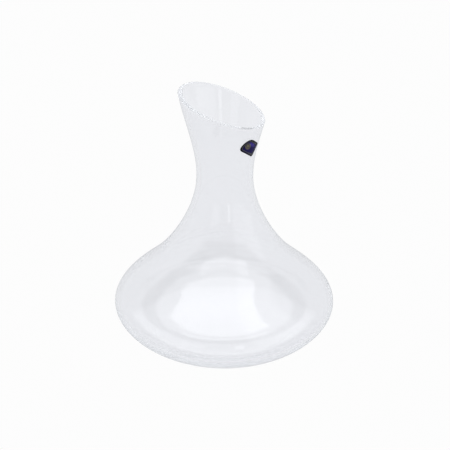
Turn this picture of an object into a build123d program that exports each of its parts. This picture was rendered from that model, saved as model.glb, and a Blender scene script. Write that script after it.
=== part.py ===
from build123d import *
import math
import os

# Wine decanter: one blown glass body with an obliquely cut mouth, and the small label stuck on its neck.
# Millimetres, +Z up. The origin is the centre of the foot, on the glass's axis.
# The high side of the mouth, the pouring lip, points along -X.

# Outside of the glass, each pair a radius and a height, from the foot to above the mouth
foot_edge = (48.0, 0.0)
belly = (93.0, 32.5)
shoulder = (64.5, 67.2)
neck_root = (44.0, 90.9)
waist = (23.6, 140.9)
flare_end = (39.0, 226.0)
flare_rise = 82.0  # slope of the neck at its top, degrees

# Glass thickness, square to the outside
heel_wall = 7.0
belly_wall = 2.6
mouth_wall = 3.6
heel_fade = 0.10  # share of the outline over which the heel thins to the belly's wall
mouth_fade = 0.15  # share of the outline over which the wall thickens to the mouth

# Foot: a narrow flat ring round a shallow punt, both blending smoothly into the glass
ring_width = 3.0
punt_height = 2.5
base_thickness = 7.0

# Mouth: a plane cut, tilted about Y, with the glass melted round along it
mouth_tilt = 19.4
mouth_height = 208.2  # where the cut crosses the axis
rim_radius = 1.5

# Label: a rectangle across the neck, its four corners rounded unevenly
label_azimuth = -31.5  # degrees from +X
label_height = 180.4
label_tilt = -34.0  # turn of its long side from level, seen from outside, degrees
label_length = 19.2
label_width = 12.2
broad_corner = 7.5  # upper corner of the end further from +X
blunt_corner = 3.5  # lower corner of the same end
sharp_corner = 2.0  # both corners of the other end
adhesive_thickness = 0.06
film_thickness = 0.14
foil_thickness = 0.08

# Stamped foils on the label: a line inside its edge, and an oval emblem with a lozenge
line_inset = 1.3
line_width = 0.5
emblem_offset = -3.8  # from the label's middle, along its length
emblem_length = 6.2
emblem_width = 4.4
emblem_rim = 0.5
lozenge_length = 3.6
lozenge_width = 2.0

os.makedirs("parts", exist_ok=True)

# ---- Outline of the outside, radius along X and height along Y ----
level = (1, 0)
flare_direction = (math.cos(math.radians(flare_rise)), math.sin(math.radians(flare_rise)))
with BuildLine() as outline:
    outside = Spline(
        foot_edge, belly, shoulder, neck_root, waist, flare_end,
        tangents=(level, flare_direction), tangent_scalars=(1, 1),
    )


def wall_at(share):
    """Glass thickness at a share of the outline, 0 at the foot and 1 at the top of the flare."""
    heel = (heel_wall - belly_wall) * math.exp(-((share / heel_fade) ** 2))
    mouth = (mouth_wall - belly_wall) * math.exp(-(((1 - share) / mouth_fade) ** 2))
    return belly_wall + heel + mouth


def beside(share, distance):
    """Point at a distance outwards from the outline, or inwards where it is negative."""
    along = outside % share
    return outside @ share + Vector(along.Y, -along.X) * distance


# ---- Glass body ----
wall_shares = [0.0, 0.04, 0.08, 0.12, 0.17, 0.24, 0.33, 0.43, 0.54, 0.66, 0.77, 0.86, 0.93, 1.0]
inside_points = [beside(share, -wall_at(share)) for share in wall_shares]
floor_centre = (0, punt_height + base_thickness)
ring_inner = (foot_edge[0] - ring_width, 0)

with BuildPart() as filled_body:
    with BuildSketch(Plane.XZ):
        with BuildLine():
            add(outline.line)
            Polyline(outside @ 1, (0, flare_end[1]), (0, 0), foot_edge)
        make_face()
    revolve(axis=Axis.Z)

with BuildPart() as glass_body:
    with BuildSketch(Plane.XZ):
        with BuildLine():
            add(outline.line)
            Line(outside @ 1, inside_points[-1])
            Spline(
                floor_centre, *inside_points,
                tangents=(level, outside % 1), tangent_scalars=(1, 1),
            )
            Line(floor_centre, (0, punt_height))
            Spline((0, punt_height), ring_inner, tangents=(level, level), tangent_scalars=(1, 1))
            Line(ring_inner, foot_edge)
        make_face()
    revolve(axis=Axis.Z)
    split(bisect_by=Plane((0, 0, mouth_height)).rotated((0, mouth_tilt, 0)), keep=Keep.BOTTOM)
    cut_face = glass_body.faces().sort_by(Axis.Z)[-1]
    fillet(cut_face.edges(), rim_radius)
glass_body.part.label = "glass_body"
export_step(glass_body.part, "parts/glass_body.step")


# ---- Label: adhesive, printed film and two stamped foils, each a skin over the neck ----
label_shares = [0.68, 0.73, 0.78, 0.83, 0.88, 0.93]


def neck_form(distance):
    """The neck as a filled solid, its side at a distance outside the glass."""
    side = [beside(share, distance) for share in label_shares]
    with BuildPart() as form:
        with BuildSketch(Plane.XZ):
            with BuildLine():
                Spline(
                    *side,
                    tangents=(outside % label_shares[0], outside % label_shares[-1]),
                    tangent_scalars=(1, 1),
                )
                Polyline(side[-1], (0, side[-1].Y), (0, side[0].Y), side[0])
            make_face()
        revolve(axis=Axis.Z)
    return form.part


adhesive_form = neck_form(adhesive_thickness)
film_form = neck_form(adhesive_thickness + film_thickness)
foil_form = neck_form(adhesive_thickness + film_thickness + foil_thickness)

facing = Vector(1, 0, 0).rotate(Axis.Z, label_azimuth)
sideways = Vector(0, 1, 0).rotate(Axis.Z, label_azimuth)
label_plane = Plane(
    origin=Vector(0, 0, label_height),
    x_dir=sideways.rotate(Axis((0, 0, 0), facing), label_tilt),
    z_dir=facing,
)


with BuildSketch(label_plane) as label_outline:
    Rectangle(label_length, label_width)
    fillet(label_outline.vertices().sort_by(Axis.X)[-2:], sharp_corner)
    fillet(label_outline.vertices().group_by(Axis.X)[0].sort_by(Axis.Y)[-1], broad_corner)
    fillet(label_outline.vertices().group_by(Axis.X)[0].sort_by(Axis.Y)[0], blunt_corner)

with BuildSketch(label_plane) as border_line:
    add(label_outline.sketch_local)
    offset(amount=-line_inset, mode=Mode.REPLACE)
    offset(amount=-line_width, mode=Mode.SUBTRACT)

with BuildSketch(label_plane) as emblem:
    with Locations((emblem_offset, 0)):
        Ellipse(emblem_length / 2, emblem_width / 2)
        Ellipse(emblem_length / 2 - emblem_rim, emblem_width / 2 - emblem_rim, mode=Mode.SUBTRACT)
        Polygon(
            (lozenge_length / 2, 0),
            (0, lozenge_width / 2),
            (-lozenge_length / 2, 0),
            (0, -lozenge_width / 2),
        )

# Each layer is its cut-out, pushed outwards from the axis, between the form above it and the form below it
with BuildPart() as label_adhesive:
    extrude(label_outline.sketch, amount=flare_end[0])
    add(adhesive_form, mode=Mode.INTERSECT)
    add(filled_body.part, mode=Mode.SUBTRACT)
label_adhesive.part.label = "label_adhesive"
export_step(label_adhesive.part, "parts/label_adhesive.step")

with BuildPart() as label_film:
    extrude(label_outline.sketch, amount=flare_end[0])
    add(film_form, mode=Mode.INTERSECT)
    add(adhesive_form, mode=Mode.SUBTRACT)
label_film.part.label = "label_film"
export_step(label_film.part, "parts/label_film.step")

with BuildPart() as label_border_foil:
    extrude(border_line.sketch, amount=flare_end[0])
    add(foil_form, mode=Mode.INTERSECT)
    add(film_form, mode=Mode.SUBTRACT)
label_border_foil.part.label = "label_border_foil"
export_step(label_border_foil.part, "parts/label_border_foil.step")

with BuildPart() as label_emblem_foil:
    extrude(emblem.sketch, amount=flare_end[0])
    add(foil_form, mode=Mode.INTERSECT)
    add(film_form, mode=Mode.SUBTRACT)
label_emblem_foil.part.label = "label_emblem_foil"
export_step(label_emblem_foil.part, "parts/label_emblem_foil.step")
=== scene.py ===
import math

import bmesh
import bpy
import numpy as np
from mathutils import Matrix, Vector


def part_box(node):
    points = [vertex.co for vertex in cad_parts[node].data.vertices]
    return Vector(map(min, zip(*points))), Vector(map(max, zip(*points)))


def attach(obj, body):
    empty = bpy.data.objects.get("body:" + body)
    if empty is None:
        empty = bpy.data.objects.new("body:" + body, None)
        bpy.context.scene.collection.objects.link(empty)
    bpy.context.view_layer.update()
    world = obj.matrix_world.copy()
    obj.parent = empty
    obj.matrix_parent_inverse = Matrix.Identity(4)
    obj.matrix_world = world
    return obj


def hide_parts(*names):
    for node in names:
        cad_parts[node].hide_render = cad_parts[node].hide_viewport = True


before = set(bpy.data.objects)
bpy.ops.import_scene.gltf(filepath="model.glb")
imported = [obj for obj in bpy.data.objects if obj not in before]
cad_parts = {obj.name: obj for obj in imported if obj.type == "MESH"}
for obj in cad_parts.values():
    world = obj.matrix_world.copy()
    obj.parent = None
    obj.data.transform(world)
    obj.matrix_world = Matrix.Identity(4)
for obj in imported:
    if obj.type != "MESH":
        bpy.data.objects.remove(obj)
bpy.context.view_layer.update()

# Looks of the wine decanter. Metres, +Z up, origin at the centre of the foot, pouring lip towards -X.
low_label, high_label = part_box("label_film")

# ---------------------------------------------------------------- sizes shared with the CAD model
OUTLINE = (  # radius and height of the outside, from the foot to above the mouth
    (0.0480, 0.0000),
    (0.0930, 0.0325),
    (0.0645, 0.0672),
    (0.0440, 0.0909),
    (0.0236, 0.1409),
    (0.0390, 0.2260),
)
FLARE_RISE = math.radians(82.0)
HEEL_WALL, BELLY_WALL, MOUTH_WALL = 0.0070, 0.0026, 0.0036
HEEL_FADE, MOUTH_FADE = 0.10, 0.15
RING_WIDTH = 0.003
PUNT_HEIGHT = 0.0025
BASE_THICKNESS = 0.0070
MOUTH_TILT = math.radians(19.4)
MOUTH_HEIGHT = 0.2082
RIM_INSET = 0.00013  # keeps the rim's crown, rounder here than in the CAD model, under the CAD model's top

# ---------------------------------------------------------------- fineness of the glass mesh
AROUND = 224
DENSE_STEPS = 600  # samples of the outline before it is cut at the mouth
OUTLINE_STEPS = 150
FLOOR_STEPS = 26
RIM_STEPS = 12
MERGE_DISTANCE = 1e-6

GLASS_TINT = (0.973, 0.973, 0.978)
GLASS_IOR = 1.52
WAVES_AROUND, WAVES_UP = 10.0, 55.0  # waves per metre
WAVE_DEPTH, WAVE_DETAIL = 0.0006, 2.0
RIM_WORN, RIM_ROUGHNESS = 0.0030, 0.18  # how far below the cut the rim is dulled by use, and how much
# The glass's bulk glows evenly by itself: painted light, given in place of the light it absorbs.
GLOW_AND_ABSORB_DENSITY = 14.0  # share of the light absorbed per metre of glass, and given back as the glass's own painted glow
PAINTED_GLOW_COLOUR = (0.80, 0.82, 0.86)


# ---------------------------------------------------------------- curves
def spline(points, start, end, count):
    """Smooth curve through points, with its directions at both ends, as count evenly spaced samples."""
    points = np.array(points, float)
    chord = np.linalg.norm(np.diff(points, axis=0), axis=1)
    knots = np.concatenate([[0.0], np.cumsum(chord)])
    n = len(points)
    system = np.zeros((n, n))
    known = np.zeros((n, 2))
    system[0, 0] = system[-1, -1] = 1.0
    known[0], known[-1] = start, end
    for i in range(1, n - 1):
        before, after = chord[i - 1], chord[i]
        system[i, i - 1 : i + 2] = after, 2 * (before + after), before
        rise_before = (points[i] - points[i - 1]) / before
        rise_after = (points[i + 1] - points[i]) / after
        known[i] = 3 * (after * rise_before + before * rise_after)
    slope = np.linalg.solve(system, known)

    where = np.linspace(0, knots[-1], count)
    span = np.clip(np.searchsorted(knots, where, side="right") - 1, 0, n - 2)
    width = chord[span][:, None]
    t = ((where - knots[span]) / chord[span])[:, None]
    a, b = points[span], points[span + 1]
    return (
        a * (1 + 2 * t) * (1 - t) ** 2
        + b * t * t * (3 - 2 * t)
        + slope[span] * width * t * (1 - t) ** 2
        + slope[span + 1] * width * t * t * (t - 1)
    )


def direction(angle):
    return (math.cos(angle), math.sin(angle))


def wall_at(share):
    """Glass thickness at a share of the outline, 0 at the foot and 1 at the top."""
    heel = (HEEL_WALL - BELLY_WALL) * np.exp(-((share / HEEL_FADE) ** 2))
    mouth = (MOUTH_WALL - BELLY_WALL) * np.exp(-(((1 - share) / MOUTH_FADE) ** 2))
    return BELLY_WALL + heel + mouth


def outwards(curve):
    """Unit normals of a curve of radius and height, away from the glass's inside."""
    along = np.gradient(curve, axis=0)
    along /= np.linalg.norm(along, axis=1)[:, None]
    return np.stack([along[:, 1], -along[:, 0]], axis=1)


# ---------------------------------------------------------------- meshes
def make_object(name, vertices, faces):
    mesh = bpy.data.meshes.new(name)
    mesh.from_pydata([tuple(v) for v in vertices], [], faces)
    shape = bmesh.new()
    shape.from_mesh(mesh)
    bmesh.ops.remove_doubles(shape, verts=shape.verts, dist=MERGE_DISTANCE)
    bmesh.ops.recalc_face_normals(shape, faces=shape.faces)
    shape.to_mesh(mesh)
    shape.free()
    for face in mesh.polygons:
        face.use_smooth = True
    piece = bpy.data.objects.new(name, mesh)
    bpy.context.scene.collection.objects.link(piece)
    return piece


def mouth_plane(x):
    """Height of the mouth's cut over a place along X."""
    return MOUTH_HEIGHT - x * math.tan(MOUTH_TILT)


def up_to_mouth(curve, turn, gap):
    """The curve's samples from its start to a gap under the mouth's cut, at one turn about the axis."""
    over = curve[:, 1] + gap - mouth_plane(curve[:, 0] * math.cos(turn))
    last = np.nonzero(over > 0)[0]
    last = last[last > len(curve) // 2][0]
    share = -over[last - 1] / (over[last] - over[last - 1])
    top = curve[last - 1] + share * (curve[last] - curve[last - 1])
    kept = np.vstack([curve[:last], top])
    length = np.concatenate([[0], np.cumsum(np.linalg.norm(np.diff(kept, axis=0), axis=1))])
    where = np.linspace(0, length[-1], OUTLINE_STEPS)
    return np.stack([np.interp(where, length, kept[:, k]) for k in (0, 1)], axis=1)


def glass_section(turn, outside, inside, floor, underside):
    """Section of the glass at a turn about the axis, from under the foot round to the centre of its floor."""
    rim_gap = MOUTH_WALL / 2 / math.cos(MOUTH_TILT) + RIM_INSET
    outer = up_to_mouth(outside, turn, rim_gap)
    inner = up_to_mouth(inside, turn, rim_gap)
    middle = (outer[-1] + inner[-1]) / 2
    across = (outer[-1] - inner[-1]) / 2
    upwards = np.array([-across[1], across[0]])
    angles = np.linspace(0, math.pi, RIM_STEPS + 1)[1:-1]
    rim = np.array([middle + across * math.cos(a) + upwards * math.sin(a) for a in angles])
    return np.vstack([underside, outer[1:], rim, inner[::-1], floor[::-1][1:]])


def make_glass():
    outside = spline(OUTLINE, (1, 0), direction(FLARE_RISE), DENSE_STEPS)
    share = np.linspace(0, 1, DENSE_STEPS)
    inside = outside - outwards(outside) * wall_at(share)[:, None]
    start = (inside[1] - inside[0]) / np.linalg.norm(inside[1] - inside[0])
    floor = spline(((0, PUNT_HEIGHT + BASE_THICKNESS), inside[0]), (1, 0), start, FLOOR_STEPS)
    ring_inner = OUTLINE[0][0] - RING_WIDTH
    punt = spline(((0, PUNT_HEIGHT), (ring_inner, 0)), (1, 0), (1, 0), FLOOR_STEPS)
    underside = np.vstack([punt, OUTLINE[0]])

    sections = []
    for i in range(AROUND):
        sections.append(glass_section(math.tau * i / AROUND, outside, inside, floor, underside))
    count = len(sections[0])
    vertices, faces = [], []
    for i, section in enumerate(sections):
        turn = math.tau * i / AROUND
        after = (i + 1) % AROUND
        for radius, height in section:
            vertices.append((radius * math.cos(turn), radius * math.sin(turn), height))
        for j in range(count - 1):
            faces.append((i * count + j, after * count + j, after * count + j + 1, i * count + j + 1))
    return make_object("blown_glass", vertices, faces)


# ---------------------------------------------------------------- shader nodes
def shader_math(tree, operation, *values):
    """A math node on numbers or sockets, as its output socket."""
    node = tree.nodes.new("ShaderNodeMath")
    node.operation = operation
    for socket, value in zip(node.inputs, values):
        if isinstance(value, (int, float)):
            socket.default_value = value
        else:
            tree.links.new(value, socket)
    return node.outputs[0]


def smooth_step(tree, value, start, end, low=0.0, high=1.0):
    """Low before start, high after end, and a smooth change between them."""
    node = tree.nodes.new("ShaderNodeMapRange")
    node.interpolation_type = "SMOOTHSTEP"
    tree.links.new(value, node.inputs["Value"])
    node.inputs["From Min"].default_value = start
    node.inputs["From Max"].default_value = end
    node.inputs["To Min"].default_value = low
    node.inputs["To Max"].default_value = high
    return node.outputs["Result"]


def band(tree, value, middle, half, soft):
    """1 within half of the middle, falling smoothly to 0 over soft."""
    off = shader_math(tree, "ABSOLUTE", shader_math(tree, "SUBTRACT", value, middle))
    return smooth_step(tree, off, half + soft, half)


def dot_with(tree, socket, fixed):
    node = tree.nodes.new("ShaderNodeVectorMath")
    node.operation = "DOT_PRODUCT"
    tree.links.new(socket, node.inputs[0])
    node.inputs[1].default_value = fixed
    return node.outputs["Value"]


def distance_from(tree, across, along, middle_x, middle_y, wide, deep):
    """Distance from a middle, 1 on an ellipse of the two half widths."""
    ex = shader_math(tree, "DIVIDE", shader_math(tree, "SUBTRACT", across, middle_x), wide)
    ey = shader_math(tree, "DIVIDE", shader_math(tree, "SUBTRACT", along, middle_y), deep)
    squared = shader_math(tree, "MULTIPLY_ADD", ex, ex, shader_math(tree, "MULTIPLY", ey, ey))
    return shader_math(tree, "SQRT", squared)


def blend_number(tree, share, first, second):
    """The first number where the share is 0 and the second where it is 1."""
    node = tree.nodes.new("ShaderNodeMix")
    node.data_type = "FLOAT"
    for socket, value in ((node.inputs[0], share), (node.inputs[2], first), (node.inputs[3], second)):
        if isinstance(value, (int, float)):
            socket.default_value = value
        else:
            tree.links.new(value, socket)
    return node.outputs[0]


def blend_colour(tree, share, first, second):
    """The first colour where the share is 0 and the second where it is 1."""
    node = tree.nodes.new("ShaderNodeMix")
    node.data_type = "RGBA"
    tree.links.new(share, node.inputs["Factor"])
    for socket, colour in ((node.inputs[6], first), (node.inputs[7], second)):
        if isinstance(colour, tuple):
            socket.default_value = (*colour, 1)
        else:
            tree.links.new(colour, socket)
    return node.outputs[2]


def add_bump(tree, shader, height, depth):
    node = tree.nodes.new("ShaderNodeBump")
    node.inputs["Distance"].default_value = depth
    tree.links.new(height, node.inputs["Height"])
    tree.links.new(node.outputs[0], shader.inputs["Normal"])


# ---------------------------------------------------------------- materials
def new_material(name):
    material = bpy.data.materials.new(name)
    material.use_nodes = True
    return material, material.node_tree, material.node_tree.nodes["Principled BSDF"]


def glass_material():
    """Clear blown glass, with faint waves round its axis from the blowpipe, a rim dulled a little, and a
    painted glow in its bulk.
    """
    material, tree, shader = new_material("clear_glass")
    shader.inputs["Base Color"].default_value = (*GLASS_TINT, 1)
    shader.inputs["Transmission Weight"].default_value = 1.0
    shader.inputs["IOR"].default_value = GLASS_IOR
    position = tree.nodes.new("ShaderNodeNewGeometry").outputs["Position"]
    stretch = tree.nodes.new("ShaderNodeVectorMath")
    stretch.operation = "MULTIPLY"
    tree.links.new(position, stretch.inputs[0])
    stretch.inputs[1].default_value = (WAVES_AROUND, WAVES_AROUND, WAVES_UP)
    waves = tree.nodes.new("ShaderNodeTexNoise")
    waves.inputs["Scale"].default_value = 1.0
    waves.inputs["Detail"].default_value = WAVE_DETAIL
    tree.links.new(stretch.outputs[0], waves.inputs["Vector"])
    add_bump(tree, shader, waves.outputs["Fac"], WAVE_DEPTH)
    height = dot_with(tree, position, (math.sin(MOUTH_TILT), 0.0, math.cos(MOUTH_TILT)))
    mouth = MOUTH_HEIGHT * math.cos(MOUTH_TILT)
    rim = smooth_step(tree, height, mouth - RIM_WORN, mouth, 0.0, RIM_ROUGHNESS)
    tree.links.new(rim, shader.inputs["Roughness"])
    # The bulk absorbs a little light and glows with painted light of its own in its place.
    glass_absorber = tree.nodes.new("ShaderNodeVolumeAbsorption")
    glass_absorber.inputs["Color"].default_value = (0, 0, 0, 1)
    glass_absorber.inputs["Density"].default_value = GLOW_AND_ABSORB_DENSITY
    # painted glow of the glass's bulk
    glow = tree.nodes.new("ShaderNodeEmission")
    glow.inputs["Color"].default_value = (*PAINTED_GLOW_COLOUR, 1)
    glow.inputs["Strength"].default_value = GLOW_AND_ABSORB_DENSITY
    both = tree.nodes.new("ShaderNodeAddShader")
    tree.links.new(glass_absorber.outputs[0], both.inputs[0])
    tree.links.new(glow.outputs[0], both.inputs[1])
    output = tree.nodes["Material Output"]
    tree.links.new(both.outputs[0], output.inputs["Volume"])
    return material


# The label: its middle, the way it faces, its turn from level and its size. Places on its film are measured
# from its middle, along its length and then across it.
LABEL_MIDDLE = (low_label + high_label) / 2
LABEL_FACING = math.radians(-31.5)
LABEL_TURN = math.radians(-34.0)
LABEL_LENGTH, LABEL_WIDTH = 0.0192, 0.0122
BORDER, BORDER_IN, BORDER_OUT = 0.0015, 0.0008, 0.0006  # the dark border, and how softly it ends either way
CORNER_SOFT = 0.003
# A painted highlight on the navy field, as a bluer patch: its middle and half size.
PAINTED_HIGHLIGHT_MIDDLE, PAINTED_HIGHLIGHT_SIZE = (-0.0010, 0.0036), (0.0048, 0.0024)
LINE_INSET, LINE_HALF, LINE_SOFT = 0.0021, 0.0006, 0.0005
LINE_FADE = (0.002, 0.009)  # the grey line fades in over this stretch towards one corner
EMBLEM_OFFSET, EMBLEM_LENGTH, EMBLEM_WIDTH = -0.0038, 0.0062, 0.0044
# The bluer colour is that of the painted highlight on the navy field.
BLACK, NAVY, HIGHLIGHT_BLUE = (0.006, 0.006, 0.008), (0.006, 0.003, 0.070), (0.045, 0.032, 0.270)
MAUVE, GREY = (0.095, 0.075, 0.095), (0.085, 0.085, 0.090)
SILVER, SILVER_WORN = (0.12, 0.12, 0.13), (0.05, 0.05, 0.06)
GOLD, GOLD_WORN = (0.24, 0.23, 0.085), (0.10, 0.09, 0.05)
ADHESIVE, ADHESIVE_SPOTS = (0.95, 0.95, 0.94), (0.88, 0.88, 0.87)
FILM_GRAIN, FILM_DETAIL, FILM_RELIEF = 9000, 3, 0.00002  # fineness of the print's grain, and its depth
FILM_ROUGHNESS, FILM_SPECULAR = (0.34, 0.48), 0.08
FOIL_PATCHES, FOIL_DETAIL, FOIL_RELIEF = 900, 4, 0.00004
FOIL_ROUGHNESS, FOIL_METAL = (0.30, 0.55), 0.85
TRAPPED_AIR, ADHESIVE_ROUGHNESS = 1400, (0.35, 0.65)


def label_axes():
    sideways = Vector((-math.sin(LABEL_FACING), math.cos(LABEL_FACING), 0))
    upright = Vector((0, 0, 1))
    along = sideways * math.cos(LABEL_TURN) + upright * math.sin(LABEL_TURN)
    across = upright * math.cos(LABEL_TURN) - sideways * math.sin(LABEL_TURN)
    return along, across


def film_material():
    """Printed film: near-black border, navy field with a painted highlight as a bluer patch, grey line, mauve
    oval, fine grain.
    """
    material, tree, shader = new_material("printed_film")
    position = tree.nodes.new("ShaderNodeNewGeometry").outputs["Position"]
    shift = tree.nodes.new("ShaderNodeVectorMath")
    shift.operation = "SUBTRACT"
    tree.links.new(position, shift.inputs[0])
    shift.inputs[1].default_value = LABEL_MIDDLE
    along, across = label_axes()
    u = dot_with(tree, shift.outputs[0], along)
    v = dot_with(tree, shift.outputs[0], across)
    ends = shader_math(tree, "SUBTRACT", LABEL_LENGTH / 2, shader_math(tree, "ABSOLUTE", u))
    sides = shader_math(tree, "SUBTRACT", LABEL_WIDTH / 2, shader_math(tree, "ABSOLUTE", v))
    inset = shader_math(tree, "SMOOTH_MIN", ends, sides, CORNER_SOFT)
    inside = smooth_step(tree, inset, BORDER - BORDER_OUT, BORDER + BORDER_IN)
    # painted highlight: the navy field turns bluer towards this patch
    painted_highlight = distance_from(tree, u, v, *PAINTED_HIGHLIGHT_MIDDLE, *PAINTED_HIGHLIGHT_SIZE)
    field = blend_colour(tree, smooth_step(tree, painted_highlight, 1.2, 0.3), NAVY, HIGHLIGHT_BLUE)
    line = band(tree, inset, LINE_INSET, LINE_HALF, LINE_SOFT)
    corner = smooth_step(tree, shader_math(tree, "SUBTRACT", u, v), *LINE_FADE)
    field = blend_colour(tree, shader_math(tree, "MULTIPLY", line, corner), field, GREY)
    colour = blend_colour(tree, inside, BLACK, field)
    oval = distance_from(tree, u, v, EMBLEM_OFFSET, 0.0, EMBLEM_LENGTH / 2, EMBLEM_WIDTH / 2)
    colour = blend_colour(tree, smooth_step(tree, oval, 1.1, 0.85), colour, MAUVE)
    tree.links.new(colour, shader.inputs["Base Color"])
    grain = tree.nodes.new("ShaderNodeTexNoise")
    grain.inputs["Scale"].default_value = FILM_GRAIN
    grain.inputs["Detail"].default_value = FILM_DETAIL
    tree.links.new(position, grain.inputs["Vector"])
    rough = smooth_step(tree, grain.outputs["Fac"], 0.3, 0.7, *FILM_ROUGHNESS)
    tree.links.new(rough, shader.inputs["Roughness"])
    shader.inputs["Specular IOR Level"].default_value = FILM_SPECULAR
    add_bump(tree, shader, grain.outputs["Fac"], FILM_RELIEF)
    return material


def foil_material(name, colour, worn):
    """Hot-stamped foil: metal with fine wrinkles, duller and darker in patches."""
    material, tree, shader = new_material(name)
    position = tree.nodes.new("ShaderNodeNewGeometry").outputs["Position"]
    patches = tree.nodes.new("ShaderNodeTexNoise")
    patches.inputs["Scale"].default_value = FOIL_PATCHES
    patches.inputs["Detail"].default_value = FOIL_DETAIL
    tree.links.new(position, patches.inputs["Vector"])
    wear = smooth_step(tree, patches.outputs["Fac"], 0.35, 0.70)
    tree.links.new(blend_colour(tree, wear, colour, worn), shader.inputs["Base Color"])
    rough = smooth_step(tree, patches.outputs["Fac"], 0.3, 0.7, *FOIL_ROUGHNESS)
    tree.links.new(rough, shader.inputs["Roughness"])
    shader.inputs["Metallic"].default_value = FOIL_METAL
    add_bump(tree, shader, patches.outputs["Fac"], FOIL_RELIEF)
    return material


def adhesive_material():
    """Adhesive on its pale backing coat, with the mottled look of small trapped air."""
    material, tree, shader = new_material("label_adhesive")
    position = tree.nodes.new("ShaderNodeNewGeometry").outputs["Position"]
    air = tree.nodes.new("ShaderNodeTexVoronoi")
    air.inputs["Scale"].default_value = TRAPPED_AIR
    tree.links.new(position, air.inputs["Vector"])
    spots = smooth_step(tree, air.outputs["Distance"], 0.05, 0.45)
    tree.links.new(blend_colour(tree, spots, ADHESIVE, ADHESIVE_SPOTS), shader.inputs["Base Color"])
    rough = smooth_step(tree, air.outputs["Distance"], 0.0, 0.5, *ADHESIVE_ROUGHNESS)
    tree.links.new(rough, shader.inputs["Roughness"])
    return material


def dress(node, material):
    """Gives a CAD node's object one material."""
    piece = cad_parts[node]
    for place in piece.material_slots:
        place.material = material


glass = make_glass()
glass.data.materials.append(glass_material())
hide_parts("glass_body")
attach(glass, "root")
dress("label_adhesive", adhesive_material())
dress("label_film", film_material())
dress("label_border_foil", foil_material("silver_foil", SILVER, SILVER_WORN))
dress("label_emblem_foil", foil_material("gold_foil", GOLD, GOLD_WORN))

# ---------------------------------------------------------------- camera
CAMERA_AZIMUTH = math.radians(12.6)
CAMERA_ELEVATION = math.radians(26.0)
CAMERA_DISTANCE = 1.1
CAMERA_ROLL = math.radians(0.34)
AIM_HEIGHT = 0.1019
AIM_SIDE = 0.0004  # the aim lies this far to the right of the axis
ORBIT_HEIGHT = 0.110
PICTURE_WIDTH = 0.3734  # width of the picture at the object, in metres
SENSOR_WIDTH = 36.0  # millimetres


def make_camera():
    data = bpy.data.cameras.new("photo_view")
    camera = bpy.data.objects.new("photo_view", data)
    bpy.context.scene.collection.objects.link(camera)
    flat = math.cos(CAMERA_ELEVATION)
    back = Vector((
        math.sin(CAMERA_AZIMUTH) * flat, -math.cos(CAMERA_AZIMUTH) * flat, math.sin(CAMERA_ELEVATION),
    ))
    camera.location = Vector((0, 0, ORBIT_HEIGHT)) + back * CAMERA_DISTANCE
    right = Vector((math.cos(CAMERA_AZIMUTH), math.sin(CAMERA_AZIMUTH), 0))
    aim = Vector((0, 0, AIM_HEIGHT)) + right * AIM_SIDE - camera.location
    camera.rotation_mode = "QUATERNION"
    turn = aim.to_track_quat("-Z", "Y").to_matrix() @ Matrix.Rotation(CAMERA_ROLL, 3, "Z")
    camera.rotation_quaternion = turn.to_quaternion()
    data.sensor_width = SENSOR_WIDTH
    data.lens = SENSOR_WIDTH * CAMERA_DISTANCE / PICTURE_WIDTH
    data.clip_start, data.clip_end = 0.01, 100
    bpy.context.scene.camera = camera


# ---------------------------------------------------------------- stage
# Bearings are measured from the camera's side of the object, positive towards the right of the picture.
# The camera sees a white backdrop and floor. The glass shows, by reflection or through it, a plain pale room
# with soft lamps and a plain pale floor, which is self-lit and so takes no shadow.
BACKDROP = 0.98
ROOM_COLOUR = (0.958, 0.970, 1.0)
ROOM_BEHIND, ROOM_AHEAD = 0.81, 0.62  # brightness of the room behind the object and on the camera's side
FLOOR_THROUGH_GLASS = 0.90
FLOOR_IN_REFLECTION = 0.66
LED_FROM = 7  # bounces from which light counts as led along inside the wall, and meets an even room
FLOOR_SIZE = 30.0
FLOOR_DROP = 0.0003  # the floor lies this far under the foot, so that the two faces don't coincide

# Soft boxes: bearing, elevation, half width, half height and softness in degrees, and brightness
SOFT_BOXES = (
    (60, 30, 25, 30, 12, 0.35),  # large, on the right
    (-30, 8, 10, 8, 6, 0.40),  # low, on the left
    (-10, 60, 70, 10, 6, 1.2),  # overhead, in front
    (0, 41, 50, 1.5, 3.0, 0.6),  # long, across the front
    (15, 8, 3, 8, 3, 0.8),  # upright, in front
    (180, 37, 22, 16, 10, 0.95),  # large, behind
)
# The dark gap on the camera's side, where the studio's wall ends under its ceiling: elevation, half height
# and softness, then half width and softness, in degrees
GAP_RISE, GAP_HALF, GAP_SOFT = 33.0, 3.0, 5.0
GAP_WIDE, GAP_FADE = 100.0, 40.0
GAP_DEPTH = 0.95  # share of the room's brightness that it lacks


def bearing_from(tree, direction_socket, centre):
    """Bearing of a direction from a centre, both in radians, between -pi and pi."""
    turn = tree.nodes.new("ShaderNodeVectorRotate")
    turn.rotation_type = "Z_AXIS"
    turn.inputs["Angle"].default_value = -(CAMERA_AZIMUTH - math.pi / 2 + centre)
    tree.links.new(direction_socket, turn.inputs["Vector"])
    split = tree.nodes.new("ShaderNodeSeparateXYZ")
    tree.links.new(turn.outputs[0], split.inputs[0])
    return shader_math(tree, "ARCTAN2", split.outputs["Y"], split.outputs["X"])


def box_light(tree, looking, elevation, bearing, rise, wide, high, soft):
    """1 over a wide soft box seen from the object, and 0 round it. Angles in degrees."""
    off = bearing_from(tree, looking, math.radians(bearing))
    sideways = band(tree, off, 0.0, math.radians(wide), math.radians(soft))
    upright = band(tree, elevation, math.radians(rise), math.radians(high), math.radians(soft))
    return shader_math(tree, "MULTIPLY", sideways, upright)


def few_bounces(tree, path):
    """1 for light that came out of the glass after few bounces, 0 for light led along inside the wall."""
    return shader_math(tree, "LESS_THAN", path.outputs["Ray Depth"], LED_FROM)


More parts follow.
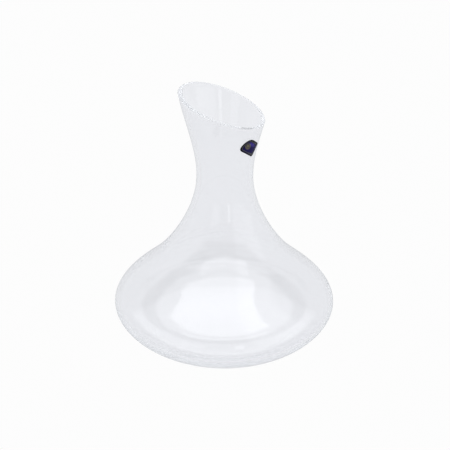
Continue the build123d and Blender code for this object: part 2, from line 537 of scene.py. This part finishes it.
def make_world():
    world = bpy.data.worlds.new("studio")
    bpy.context.scene.world = world
    world.use_nodes = True
    tree = world.node_tree
    nodes, links = tree.nodes, tree.links
    nodes.clear()
    looking = nodes.new("ShaderNodeTexCoord").outputs["Generated"]
    split = nodes.new("ShaderNodeSeparateXYZ")
    links.new(looking, split.inputs[0])
    elevation = shader_math(tree, "ARCSINE", split.outputs["Z"])
    camera_side = Vector((math.sin(CAMERA_AZIMUTH), -math.cos(CAMERA_AZIMUTH), 0))
    plain = smooth_step(tree, dot_with(tree, looking, camera_side), 0.0, 1.0, ROOM_BEHIND, ROOM_AHEAD)
    line = band(tree, elevation, math.radians(GAP_RISE), math.radians(GAP_HALF), math.radians(GAP_SOFT))
    ahead = band(tree, bearing_from(tree, looking, 0.0), 0.0, math.radians(GAP_WIDE), math.radians(GAP_FADE))
    gap = shader_math(tree, "MULTIPLY", shader_math(tree, "MULTIPLY", line, ahead), GAP_DEPTH)
    room = shader_math(tree, "MULTIPLY", plain, shader_math(tree, "SUBTRACT", 1.0, gap))
    for bearing, rise, wide, high, soft, strength in SOFT_BOXES:
        lit = box_light(tree, looking, elevation, bearing, rise, wide, high, soft)
        room = shader_math(tree, "MULTIPLY_ADD", lit, strength, room)

    path = nodes.new("ShaderNodeLightPath")
    through = blend_number(tree, few_bounces(tree, path), ROOM_BEHIND, room)
    room = blend_number(tree, path.outputs["Is Reflection Ray"], through, room)

    studio, backdrop = nodes.new("ShaderNodeBackground"), nodes.new("ShaderNodeBackground")
    studio.inputs["Color"].default_value = (*ROOM_COLOUR, 1)
    links.new(room, studio.inputs["Strength"])
    backdrop.inputs["Color"].default_value = (1, 1, 1, 1)
    backdrop.inputs["Strength"].default_value = BACKDROP
    mix = nodes.new("ShaderNodeMixShader")
    output = nodes.new("ShaderNodeOutputWorld")
    links.new(path.outputs["Is Camera Ray"], mix.inputs[0])
    links.new(studio.outputs[0], mix.inputs[1])
    links.new(backdrop.outputs[0], mix.inputs[2])
    links.new(mix.outputs[0], output.inputs[0])


def make_floor():
    bpy.ops.mesh.primitive_plane_add(size=FLOOR_SIZE, location=(0, 0, -FLOOR_DROP))
    floor = bpy.context.object
    floor.name = "studio_floor"
    material = bpy.data.materials.new("studio_floor")
    material.use_nodes = True
    tree = material.node_tree
    nodes, links = tree.nodes, tree.links
    nodes.clear()
    path = nodes.new("ShaderNodeLightPath")
    seen = blend_number(tree, path.outputs["Is Reflection Ray"], FLOOR_THROUGH_GLASS, FLOOR_IN_REFLECTION)
    seen = blend_number(tree, path.outputs["Is Camera Ray"], seen, BACKDROP)
    tone = nodes.new("ShaderNodeMix")
    tone.data_type = "RGBA"
    links.new(path.outputs["Is Camera Ray"], tone.inputs[0])
    tone.inputs[6].default_value = (*ROOM_COLOUR, 1)
    tone.inputs[7].default_value = (1, 1, 1, 1)
    glow, output = nodes.new("ShaderNodeEmission"), nodes.new("ShaderNodeOutputMaterial")
    links.new(tone.outputs[2], glow.inputs["Color"])
    links.new(seen, glow.inputs["Strength"])
    links.new(glow.outputs[0], output.inputs["Surface"])
    floor.data.materials.append(material)


LIGHT_BOUNCES, DIFFUSE_BOUNCES = 1024, 64  # light is led a long way along inside the wall of clear glass

make_floor()
make_world()
make_camera()
scene = bpy.context.scene
scene.view_settings.view_transform = "Standard"
scene.cycles.max_bounces = LIGHT_BOUNCES
scene.cycles.transmission_bounces = LIGHT_BOUNCES
scene.cycles.glossy_bounces = LIGHT_BOUNCES
scene.cycles.diffuse_bounces = DIFFUSE_BOUNCES
